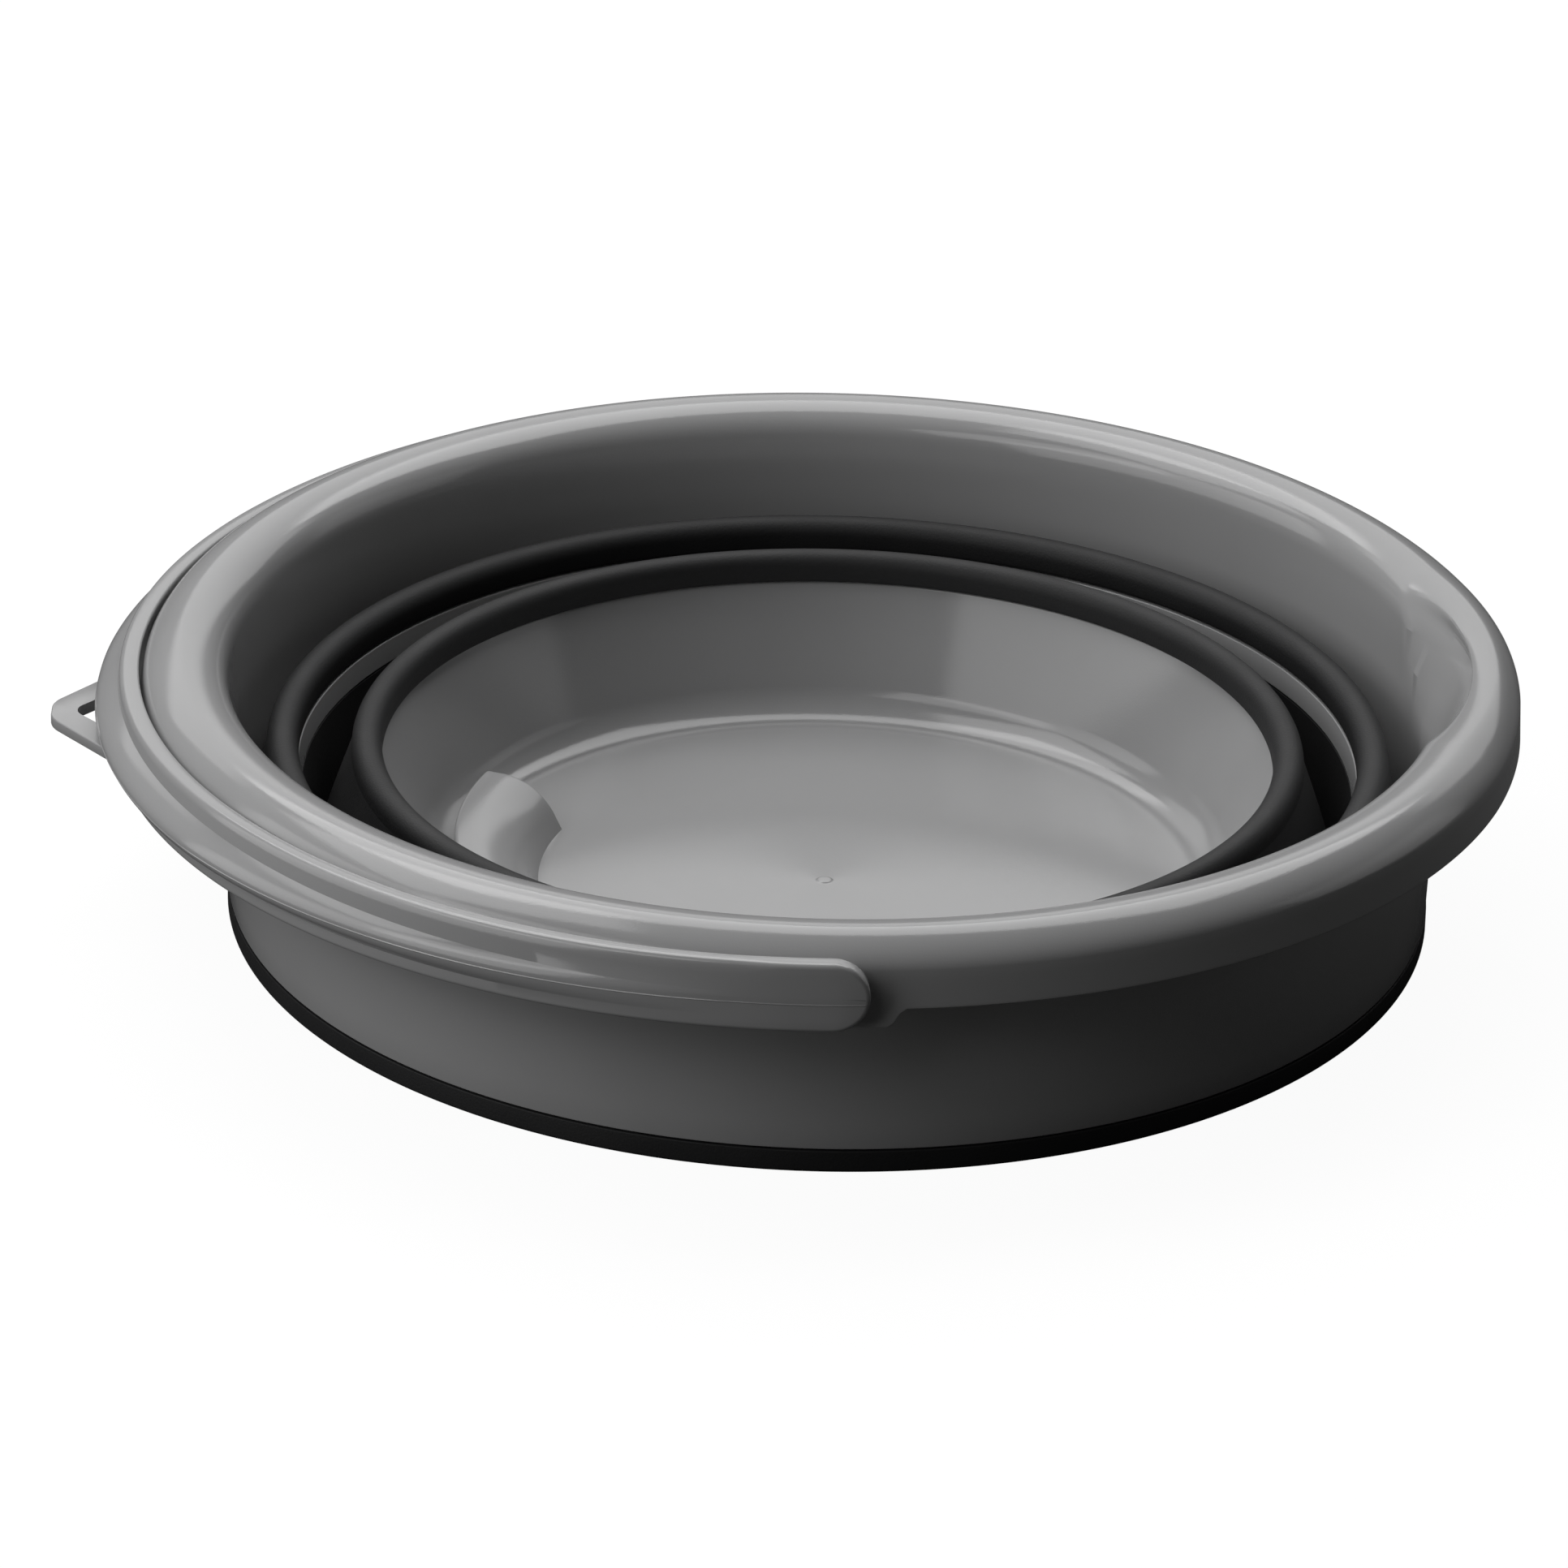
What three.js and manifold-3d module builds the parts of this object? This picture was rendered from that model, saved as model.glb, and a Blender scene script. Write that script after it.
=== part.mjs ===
// Collapsible bucket, folded flat, with its bail handle laid round the rim.
// Millimetres, +Z up. The axis of the bucket is Z and the ground is z = 0.
// The spout points to +X, the handle lies on the -X side and its pivots are on the Y axis.

import * as THREE from 'three';
import { mergeVertices } from 'three/addons/utils/BufferGeometryUtils.js';
import Module from 'manifold-3d';

// Upper ring: a drafted wall that flares into a rolled rim with a hanging skirt
const WALL = 1.9;
const WALL_FOOT_RADIUS = 142.5;
const WALL_DRAFT = THREE.MathUtils.degToRad(2);
const WALL_STOPS = [0, 0.5, 0.78];
const FLARE_START = 55;
const RIM_HEIGHT = 66.1;
const RIM_FLARE = 8.7;
const ROLL_WIDTH = 9.8;
const ROLL_DROP = 7.1;
const FLARE_LIFT = 0.6;
const FLARE_SPREAD = 0.03;
const CREST_SHARE = 0.5;
const ROLL_CROWN = 0.34;
const ROLL_SHOULDER = 0.46;
const ROLL_SPREAD = 0.08;
const SKIRT_HEIGHT = 8.3;
const SKIRT_FLARE = 2.4;
const SKIRT_EDGE = 0.8;

// Ears: deeper tongues of the skirt that hold the handle's pegs
const EAR_DEPTH = 4.4;
const EAR_HALF_WIDTH = 11.5;
const EAR_FILLET = 4;

// Spout: a conical channel pressed out of the wall
const SPOUT_DEPTH = 8.6;
const SPOUT_HEIGHT = 35;
const SPOUT_HALF_ANGLE = THREE.MathUtils.degToRad(19.5);
const SPOUT_LIP = 0.4;
const SPOUT_POWER = 1.5;

// Soft folds: cuff, two webs, two beads and the band under the middle ring
const CUFF_FOOT = 0.1;
const CUFF_HEIGHT = 5.3;
const CUFF_WALL = 2.3;
const CUFF_PROUD = 0.2;
const SOFT_CORNER = 0.6;
const WEB = 1.2;
const WEB_FOOT = 2.2;
const WEB_DROP = 3.1;
const WEB_UPRIGHT = 0.3;
const WEB_EASE = 0.25;
const UPPER_STEP = 13.9;
const UPPER_BEAD_RADIUS = 3.8;
const UPPER_BEAD_HEIGHT = 39.6;
const LOWER_STEP = 19.9;
const LOWER_BEAD_RADIUS = 3.6;
const LOWER_BEAD_HEIGHT = 39.4;
const BAND_WALL = 2.2;
const BAND_FOOT = 1.8;
const BAND_DRAFT = 1.6;

// Middle ring: a stiff hoop between the two folds
const HOOP_WALL = 2.6;
const HOOP_HEIGHT = 5.4;
const HOOP_INSET = 4.7;
const HOOP_LEAN = 0.9;
const HOOP_EDGE = 0.4;

// Base: a bowl with a fillet, a foot ring and a finger recess in its floor, inside the foot ring
const BASE_WALL = 2.3;
const BASE_INSET = 2;
const FLOOR_WALL = 2.8;
const FOOT_HEIGHT = 1.7;
const FOOT_WIDTH = 2.2;
const FOOT_INSET = 0.3;
const FLOOR_RADIUS = 88.4;
const BASE_FILLET = 10.3;
const FILLET_FULLNESS = 0.6;
const RECESS_DEPTH = 20.4;
const RECESS_INSET = 0.5;
const RECESS_HEIGHT = 12;
const RECESS_LEAN = THREE.MathUtils.degToRad(28);
const RECESS_ROUND = 14;
const RECESS_EDGE = 0.9;
const RECESS_HALF_ANGLE = THREE.MathUtils.degToRad(22.8);

// Handle: a half ring with a rib along its grip, a hang tab and two snap pegs
const HANDLE_GAP = 0.5;
const HANDLE_WALL = 4.8;
const HANDLE_HEIGHT = 15.4;
const HANDLE_CHAMFER = 1.2;
const HANDLE_LEAN = 1.3;
const HANDLE_TUCK = 0.4;
const PIVOT_DROP = 11.4;
const RIB_DEPTH = 3.6;
const RIB_HEIGHT = 5.4;
const RIB_HALF_ANGLE = THREE.MathUtils.degToRad(82);
const RIB_FADE = 0.45;
const RIB_SHOULDER = 0.75;
const RIB_CROWN = 0.3;
const TAB_LENGTH = 14.3;
const TAB_ROOT_WIDTH = 46;
const TAB_TIP_WIDTH = 9;
const TAB_TIP_ROUND = 2;
const TAB_THICKNESS = 2.8;
const TAB_DROP = 1.6;
const TAB_HOLE_WIDTH = 16;
const TAB_HOLE_LENGTH = 7;
const TAB_HOLE_MARGIN = 4.8;
const PEG_RADIUS = 3.7;
const PEG_HEAD_RADIUS = 4.9;
const PEG_HEAD_LENGTH = 2;
const PEG_HEAD_GAP = 1;
const PEG_CLEARANCE = 0.3;

// Fits and facets
const SEAM = 0.3;
const AROUND = 60;
const FLARE_STEPS = 4;
const ROLL_STEPS = 4;
const SPOUT_STEPS = 14;
const SIDE_STEPS = 11;
const BACK_STEPS = 28;
const WEB_STEPS = 3;
const FILLET_STEPS = 4;
const RECESS_STEPS = 5;
const HANDLE_STEPS = 40;
const BEAD_SIDES = 8;
const PEG_SIDES = 20;
const TAB_STEPS = 4;

const wasm = await Module();
wasm.setup();

const polypropylene = { color: 0x8c8c8d, roughness: 0.3, metalness: 0 };
const elastomer = { color: 0x1d1d1e, roughness: 0.6, metalness: 0 };

function toSolid(geometry) {
  const bare = geometry.clone();
  bare.deleteAttribute('normal');
  bare.deleteAttribute('uv');
  const merged = mergeVertices(bare, 1e-4);
  return new wasm.Manifold(new wasm.Mesh({
    numProp: 3,
    vertProperties: new Float32Array(merged.attributes.position.array),
    triVerts: new Uint32Array(merged.index.array),
  }));
}

function toGeometry(solid) {
  const mesh = solid.getMesh();
  const geometry = new THREE.BufferGeometry();
  geometry.setAttribute('position', new THREE.BufferAttribute(mesh.vertProperties, 3));
  geometry.setIndex(new THREE.BufferAttribute(mesh.triVerts, 1));
  geometry.computeVertexNormals();
  return geometry;
}

// Joins closed sections of equal length into one skin, as a ring or with flat ends
function loft(sections, ring) {
  const count = sections[0].length;
  const positions = sections.flat().flatMap((p) => [p.x, p.y, p.z]);
  const index = [];
  const last = ring ? sections.length : sections.length - 1;
  for (let s = 0; s < last; s += 1) {
    const here = s * count;
    const next = ((s + 1) % sections.length) * count;
    for (let i = 0; i < count; i += 1) {
      const j = (i + 1) % count;
      index.push(here + i, here + j, next + j, here + i, next + j, next + i);
    }
  }
  if (!ring) {
    const end = (sections.length - 1) * count;
    for (let i = 1; i < count - 1; i += 1) {
      index.push(0, i + 1, i, end, end + i, end + i + 1);
    }
  }
  const geometry = new THREE.BufferGeometry();
  geometry.setAttribute('position', new THREE.Float32BufferAttribute(positions, 3));
  geometry.setIndex(index);
  geometry.computeVertexNormals();
  return geometry;
}

// Turns a closed outline of [radius, height] pairs, given anticlockwise, round the Z axis
function revolve(outline) {
  return revolveOpen([...outline, outline[0]]);
}

// Turns a line as it stands: the bowl's starts on its lip, and the ends meet or lie on the axis
function revolveOpen(line) {
  const profile = line.map(([r, z]) => new THREE.Vector2(r, z));
  return new THREE.LatheGeometry(profile, AROUND).rotateX(Math.PI / 2);
}

function atAzimuth(azimuth, radius, height) {
  return new THREE.Vector3(radius * Math.cos(azimuth), radius * Math.sin(azimuth), height);
}

function curve(start, first, second, end, steps) {
  const points = [start, first, second, end].map(([r, z]) => new THREE.Vector2(r, z));
  return new THREE.CubicBezierCurve(...points).getPoints(steps).map((p) => [p.x, p.y]);
}

// Moves a polyline sideways, to its right, by the wall's thickness
function offset(line, distance) {
  return line.map(([r, z], i) => {
    const [ra, za] = line[Math.max(i - 1, 0)];
    const [rb, zb] = line[Math.min(i + 1, line.length - 1)];
    const length = Math.hypot(rb - ra, zb - za);
    return [r + (distance * (zb - za)) / length, z - (distance * (rb - ra)) / length];
  });
}

function smooth(x) {
  return THREE.MathUtils.smoothstep(x, 0, 1);
}

function piece(name, geometry, finish) {
  const mesh = new THREE.Mesh(geometry, new THREE.MeshStandardMaterial(finish));
  mesh.name = name;
  return mesh;
}

// Places shared by several pieces
const cuffTop = CUFF_FOOT + CUFF_HEIGHT;
const wallFoot = cuffTop + SEAM;
const crestRadius = WALL_FOOT_RADIUS + RIM_FLARE;
const rollRadius = crestRadius + ROLL_WIDTH;
const rollFoot = RIM_HEIGHT - ROLL_DROP;
const skirtRadius = rollRadius + SKIRT_FLARE;
const skirtFoot = rollFoot - SKIRT_HEIGHT;
const pivotHeight = RIM_HEIGHT - PIVOT_DROP;
const upperRing = WALL_FOOT_RADIUS - UPPER_STEP;
const lowerRing = upperRing - LOWER_STEP;
const floorTop = FOOT_HEIGHT + FLOOR_WALL;

// How far the spout presses the wall out at an azimuth and a height
function spoutReach(azimuth, height) {
  const rise = (height - (RIM_HEIGHT - SPOUT_HEIGHT)) / SPOUT_HEIGHT;
  const across = azimuth / (SPOUT_HALF_ANGLE * Math.max(rise, 1e-6));
  if (rise <= 0 || Math.abs(across) >= 1) return 0;
  return SPOUT_DEPTH * rise ** SPOUT_POWER * (1 - across ** 2);
}

// How far the skirt hangs lower at an azimuth, one tongue at each pivot
function earDrop(azimuth) {
  const fromPivot = Math.abs(Math.abs(azimuth) - Math.PI / 2) * skirtRadius;
  return EAR_DEPTH * (1 - smooth((fromPivot - EAR_HALF_WIDTH) / EAR_FILLET));
}

// The ring's section at one azimuth: the wall's inner face, the roll and the skirt,
// and the same line set back by the wall's thickness
function upperRingSection(azimuth) {
  const innerFoot = WALL_FOOT_RADIUS - WALL;
  const flareRadius = innerFoot + (FLARE_START - wallFoot) * Math.tan(WALL_DRAFT);
  const flareRise = RIM_HEIGHT - FLARE_START;
  const inside = curve(
    [flareRadius, FLARE_START],
    [flareRadius + FLARE_SPREAD * RIM_FLARE, FLARE_START + FLARE_LIFT * flareRise],
    [crestRadius - CREST_SHARE * RIM_FLARE, RIM_HEIGHT],
    [crestRadius, RIM_HEIGHT],
    FLARE_STEPS,
  );
  const outside = curve(
    [crestRadius, RIM_HEIGHT],
    [crestRadius + ROLL_CROWN * ROLL_WIDTH, RIM_HEIGHT],
    [rollRadius - ROLL_SPREAD * ROLL_WIDTH, rollFoot + ROLL_SHOULDER * ROLL_DROP],
    [rollRadius, rollFoot],
    ROLL_STEPS,
  );
  const wall = WALL_STOPS.map((share) => [
    innerFoot + share * (flareRadius - innerFoot),
    wallFoot + share * (FLARE_START - wallFoot),
  ]);
  const pressed = [...wall, ...inside].map(([r, z]) => [r + spoutReach(azimuth, z), z]);
  const crestReach = spoutReach(azimuth, RIM_HEIGHT);
  const lip = (SPOUT_LIP * crestReach) / SPOUT_DEPTH;
  const rolled = outside.slice(1).map(([r, z]) => {
    const fade = (rollRadius - r) / ROLL_WIDTH;
    return [r + lip + (crestReach - lip) * fade, z];
  });
  const skirtEnd = skirtRadius + lip;
  const skirt = [[skirtEnd, skirtFoot], [skirtEnd, skirtFoot - SKIRT_EDGE - earDrop(azimuth)]];
  const skin = [...pressed, ...rolled, ...skirt];
  return [...skin, ...offset(skin, WALL).reverse()].map(([r, z]) => atAzimuth(azimuth, r, z));
}

// Azimuths round the ring, closer together across the spout and the ears
function ringAzimuths() {
  const azimuths = [];
  for (let i = 0; i <= SPOUT_STEPS; i += 1) {
    azimuths.push(((2 * i) / SPOUT_STEPS - 1) * SPOUT_HALF_ANGLE);
  }
  const earEdge = EAR_HALF_WIDTH / skirtRadius;
  const earEnd = (EAR_HALF_WIDTH + EAR_FILLET) / skirtRadius;
  const earSide = (earEdge + earEnd) / 2;
  const earStops = [-earEnd, -earSide, -earEdge, 0, earEdge, earSide, earEnd];
  const plain = [
    [SPOUT_HALF_ANGLE, Math.PI / 2 - earEnd, SIDE_STEPS],
    [Math.PI / 2 + earEnd, (3 * Math.PI) / 2 - earEnd, BACK_STEPS],
    [(3 * Math.PI) / 2 + earEnd, 2 * Math.PI - SPOUT_HALF_ANGLE, SIDE_STEPS],
  ];
  plain.forEach(([from, to, steps], run) => {
    for (let i = 1; i < steps; i += 1) azimuths.push(from + ((to - from) * i) / steps);
    if (run < 2) earStops.forEach((stop) => azimuths.push((run + 0.5) * Math.PI + stop));
  });
  return azimuths.map((a) => (a > Math.PI ? a - 2 * Math.PI : a));
}

function roundBar(radius, from, to) {
  const bar = new THREE.CylinderGeometry(radius, radius, to - from, PEG_SIDES);
  return bar.translate(0, (from + to) / 2, pivotHeight);
}

// Upper ring: rim, skirt, ears, spout and outer wall in one moulding
function makeUpperRing() {
  let ring = toSolid(loft(ringAzimuths().map(upperRingSection), true));
  const holeStart = crestRadius + WALL;
  const holeEnd = skirtRadius + WALL;
  [[holeStart, holeEnd], [-holeEnd, -holeStart]].forEach(([from, to]) => {
    ring = ring.subtract(toSolid(roundBar(PEG_RADIUS + PEG_CLEARANCE, from, to)));
  });
  return piece('upper_ring', toGeometry(ring), polypropylene);
}

// Cuff: the soft hem round the foot of the upper wall
function makeCuff() {
  const outer = WALL_FOOT_RADIUS + CUFF_PROUD;
  const inner = outer - CUFF_WALL;
  const outline = [
    [inner, CUFF_FOOT + SOFT_CORNER],
    [inner + SOFT_CORNER, CUFF_FOOT],
    [outer - SOFT_CORNER, CUFF_FOOT],
    [outer, CUFF_FOOT + SOFT_CORNER],
    [outer, cuffTop],
    [inner, cuffTop],
  ];
  return piece('upper_fold_cuff', revolve(outline), elastomer);
}

// Web: a thin wall that leans from the foot of one ring up to the underside of the next one's bead
function makeWeb(name, footRadius, topRadius, beadHeight) {
  const topHeight = beadHeight - WEB_DROP;
  const rise = topHeight - WEB_FOOT;
  const lean = footRadius - topRadius;
  const outer = curve(
    [footRadius, WEB_FOOT],
    [footRadius, WEB_FOOT + WEB_UPRIGHT * rise],
    [topRadius + WEB_EASE * lean, topHeight - WEB_EASE * rise],
    [topRadius, topHeight],
    WEB_STEPS,
  );
  const inner = outer.map(([r, z]) => [r - WEB, z]).reverse();
  return piece(name, revolve([...outer, ...inner]), elastomer);
}

// Bead: the round soft ridge at the top of a fold
function makeBead(name, ringRadius, beadRadius, height) {
  const outline = [];
  for (let i = 0; i < BEAD_SIDES; i += 1) {
    const turn = (2 * Math.PI * (i + 0.5)) / BEAD_SIDES;
    outline.push([ringRadius + beadRadius * Math.cos(turn), height + beadRadius * Math.sin(turn)]);
  }
  return piece(name, revolve(outline), elastomer);
}

// Middle ring: a hoop just under the upper bead, leaning in to its glossy lower edge
const hoopTop = UPPER_BEAD_HEIGHT - UPPER_BEAD_RADIUS - SEAM;
const hoopFoot = hoopTop - HOOP_HEIGHT;
const hoopRadius = upperRing - HOOP_INSET;
function makeMiddleRing() {
  const outline = [
    [hoopRadius, hoopFoot],
    [hoopRadius + HOOP_WALL - HOOP_EDGE, hoopFoot],
    [hoopRadius + HOOP_WALL, hoopFoot + HOOP_EDGE],
    [hoopRadius + HOOP_WALL + HOOP_LEAN, hoopTop],
    [hoopRadius + HOOP_LEAN, hoopTop],
  ];
  return piece('middle_ring', revolve(outline), polypropylene);
}

// Band: the thick soft wall that hangs from the middle ring down to the lower fold
const bandTop = hoopFoot - SEAM;
const bandFootRadius = hoopRadius - BAND_DRAFT;
function makeBand() {
  const outline = [
    [bandFootRadius, BAND_FOOT + SOFT_CORNER],
    [bandFootRadius + SOFT_CORNER, BAND_FOOT],
    [bandFootRadius + BAND_WALL - SOFT_CORNER, BAND_FOOT],
    [bandFootRadius + BAND_WALL, BAND_FOOT + SOFT_CORNER],
    [hoopRadius + BAND_WALL, bandTop],
    [hoopRadius, bandTop],
  ];
  return piece('lower_fold_band', revolve(outline), elastomer);
}

// Base: the inner line runs from the rim of the bowl down the wall and the fillet to the floor
function makeBase() {
  const baseTop = LOWER_BEAD_HEIGHT - LOWER_BEAD_RADIUS - SEAM;
  const topRadius = lowerRing - BASE_INSET;
  const filletTop = floorTop + BASE_FILLET;
  const filletRadius = FLOOR_RADIUS + BASE_FILLET;
  const slope = (topRadius - filletRadius) / (baseTop - filletTop);
  const corner = filletRadius - slope * BASE_FILLET;
  const fillet = curve(
    [filletRadius, filletTop],
    [filletRadius - FILLET_FULLNESS * (filletRadius - corner), filletTop - FILLET_FULLNESS * BASE_FILLET],
    [FLOOR_RADIUS + FILLET_FULLNESS * (corner - FLOOR_RADIUS), floorTop],
    [FLOOR_RADIUS, floorTop],
    FILLET_STEPS,
  );
  const inner = [[topRadius, baseTop], ...fillet];
  const shell = offset(inner, -BASE_WALL).slice(0, -1);
  const footOuter = FLOOR_RADIUS - FOOT_INSET;
  const footInner = footOuter - FOOT_WIDTH;
  const under = [
    [footOuter, FOOT_HEIGHT],
    [footOuter, 0],
    [footInner, 0],
    [footInner, FOOT_HEIGHT],
    [0, FOOT_HEIGHT],
  ];
  const bowlOutline = [...shell, [FLOOR_RADIUS, FOOT_HEIGHT], ...under];
  const bowlInside = [[0, floorTop], ...inner.slice().reverse(), shell[0]];
  const bowl = revolveOpen([...bowlOutline, ...bowlInside].reverse());
  const hump = toSolid(loft(recessSections(0), false));
  const hollow = toSolid(loft(recessSections(BASE_WALL), false));
  const base = toSolid(bowl).add(hump).subtract(hollow);
  return piece('base_bowl', toGeometry(base), polypropylene);
}

// Sections of the finger recess along an arc round the axis, on the -X side: a leaning inner face,
// a large round, a flat top and an upright back. Set back by the wall they give the hollow,
// and as they are the hump over it.
function recessSections(setBack) {
  const innerRadius = FLOOR_RADIUS - RECESS_DEPTH;
  const backRadius = FLOOR_RADIUS - RECESS_INSET - setBack;
  const topHeight = floorTop + RECESS_HEIGHT - setBack;
  const centreHeight = floorTop + RECESS_HEIGHT - RECESS_ROUND;
  const faceRadius = innerRadius + (centreHeight - floorTop) * Math.tan(RECESS_LEAN);
  const centreRadius = faceRadius + RECESS_ROUND / Math.cos(RECESS_LEAN);
  const round = RECESS_ROUND - setBack;
  const foot = setBack > 0 ? -FOOT_HEIGHT : FOOT_HEIGHT + FLOOR_WALL / 2;
  const outline = [
    [backRadius, foot],
    [backRadius, topHeight - RECESS_EDGE],
    [backRadius - RECESS_EDGE, topHeight],
  ];
  for (let i = 0; i <= RECESS_STEPS; i += 1) {
    const turn = ((Math.PI / 2 - RECESS_LEAN) * i) / RECESS_STEPS;
    outline.push([centreRadius - round * Math.sin(turn), centreHeight + round * Math.cos(turn)]);
  }
  const [lastRadius, lastHeight] = outline[outline.length - 1];
  outline.push([lastRadius - (lastHeight - foot) * Math.tan(RECESS_LEAN), foot]);
  outline.reverse();
  const endAngle = RECESS_HALF_ANGLE - setBack / innerRadius;
  const edgeAngle = endAngle - RECESS_EDGE / innerRadius;
  const edgeShare = 1 - RECESS_EDGE / RECESS_HEIGHT;
  const stops = [
    [-endAngle, edgeShare],
    ...[-1, -0.5, 0, 0.5, 1].map((share) => [share * edgeAngle, 1]),
    [endAngle, edgeShare],
  ];
  return stops.map(([angle, share]) => outline.map(([r, z]) => {
    const height = z > floorTop ? floorTop + (z - floorTop) * share : z;
    return atAzimuth(Math.PI + angle, r, height);
  }));
}

// The handle's section at an arc angle from the middle of the grip
const handleRadius = skirtRadius + HANDLE_GAP;
function handleSection(angle) {
  const halfHeight = HANDLE_HEIGHT / 2;
  const past = Math.max(Math.abs(angle) - Math.PI / 2, 0) * handleRadius;
  const half = Math.sqrt(Math.max(halfHeight ** 2 - past ** 2, 0));
  const chamfer = Math.min(HANDLE_CHAMFER, half / 2);
  const share = Math.abs(angle) / RIB_HALF_ANGLE;
  const grip = 1 - smooth((share - 1 + RIB_FADE) / RIB_FADE);
  const rib = RIB_DEPTH * grip;
  const ribHalf = Math.min(RIB_HEIGHT, half) / 2;
  const outline = [
    [0, -half + chamfer],
    [0, half - chamfer],
    [chamfer, half],
    [HANDLE_WALL - chamfer, half],
    [HANDLE_WALL, half - chamfer],
    [HANDLE_WALL, ribHalf],
    [HANDLE_WALL + RIB_SHOULDER * rib, RIB_SHOULDER * ribHalf],
    [HANDLE_WALL + rib, RIB_CROWN * ribHalf],
    [HANDLE_WALL + rib, -RIB_CROWN * ribHalf],
    [HANDLE_WALL + RIB_SHOULDER * rib, -RIB_SHOULDER * ribHalf],
    [HANDLE_WALL, -ribHalf],
    [HANDLE_WALL, -half + chamfer],
    [HANDLE_WALL - chamfer, -half],
    [chamfer, -half],
  ];
  return outline.map(([depth, rise]) => {
    const lean = -grip * (HANDLE_TUCK + (HANDLE_LEAN * rise) / halfHeight);
    return atAzimuth(Math.PI + angle, handleRadius + depth + lean, pivotHeight + rise);
  });
}

// Hang tab: a blunt triangle with a three-cornered hole, flush with the grip's lower edge
function makeTab() {
  const root = handleRadius + HANDLE_WALL / 2;
  const tip = handleRadius + HANDLE_WALL + TAB_LENGTH;
  const shape = new THREE.Shape();
  shape.moveTo(-root, -TAB_ROOT_WIDTH / 2);
  shape.lineTo(-root, TAB_ROOT_WIDTH / 2);
  shape.lineTo(-tip + TAB_TIP_ROUND, TAB_TIP_WIDTH / 2);
  shape.quadraticCurveTo(-tip, (TAB_TIP_WIDTH - TAB_TIP_ROUND) / 2, -tip, 0);
  shape.quadraticCurveTo(
    -tip, (TAB_TIP_ROUND - TAB_TIP_WIDTH) / 2, -tip + TAB_TIP_ROUND, -TAB_TIP_WIDTH / 2,
  );
  const holeTip = -tip + TAB_HOLE_MARGIN;
  const holeRoot = holeTip + TAB_HOLE_LENGTH;
  const hole = new THREE.Path();
  hole.moveTo(holeRoot, -TAB_HOLE_WIDTH / 2);
  hole.quadraticCurveTo(holeTip, -TAB_HOLE_WIDTH / 4, holeTip, 0);
  hole.quadraticCurveTo(holeTip, TAB_HOLE_WIDTH / 4, holeRoot, TAB_HOLE_WIDTH / 2);
  shape.holes.push(hole);
  const plate = new THREE.ExtrudeGeometry(shape, {
    depth: TAB_THICKNESS, bevelEnabled: false, curveSegments: TAB_STEPS,
  });
  return plate.translate(0, 0, pivotHeight - HANDLE_HEIGHT / 2 - TAB_DROP);
}

// Handle: the half ring runs past each pivot to a round end
function makeHandle() {
  const endReach = HANDLE_HEIGHT / 2 / handleRadius;
  const ends = [80, 62, 44, 22].map((degrees) => Math.sin(THREE.MathUtils.degToRad(degrees)) * endReach);
  const angles = ends.map((reach) => -Math.PI / 2 - reach);
  for (let i = 0; i <= HANDLE_STEPS; i += 1) angles.push(Math.PI * (i / HANDLE_STEPS - 0.5));
  ends.slice().reverse().forEach((reach) => angles.push(Math.PI / 2 + reach));
  let handle = toSolid(loft(angles.map(handleSection), false)).add(toSolid(makeTab()));
  const headEnd = rollRadius - WALL - PEG_HEAD_GAP;
  const headStart = headEnd - PEG_HEAD_LENGTH;
  const root = handleRadius + HANDLE_WALL / 2;
  const lengths = [
    [PEG_RADIUS, headStart, root],
    [PEG_HEAD_RADIUS, headStart, headEnd],
  ];
  lengths.forEach(([radius, from, to]) => {
    handle = handle.add(toSolid(roundBar(radius, from, to)));
    handle = handle.add(toSolid(roundBar(radius, -to, -from)));
  });
  return piece('handle', toGeometry(handle), polypropylene);
}

const bucket = new THREE.Group();
bucket.add(
  makeUpperRing(),
  makeCuff(),
  makeWeb(
    'upper_fold_web',
    WALL_FOOT_RADIUS + CUFF_PROUD - CUFF_WALL - SEAM,
    upperRing + UPPER_BEAD_RADIUS - SEAM,
    UPPER_BEAD_HEIGHT,
  ),
  makeBead('upper_fold_bead', upperRing, UPPER_BEAD_RADIUS, UPPER_BEAD_HEIGHT),
  makeMiddleRing(),
  makeBand(),
  makeWeb(
    'lower_fold_web',
    bandFootRadius - SEAM,
    lowerRing + LOWER_BEAD_RADIUS - SEAM,
    LOWER_BEAD_HEIGHT,
  ),
  makeBead('lower_fold_bead', lowerRing, LOWER_BEAD_RADIUS, LOWER_BEAD_HEIGHT),
  makeBase(),
  makeHandle(),
);

export default bucket;
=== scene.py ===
import math

import bmesh
import bpy
from mathutils import Matrix, Vector
from mathutils.geometry import interpolate_bezier


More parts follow.
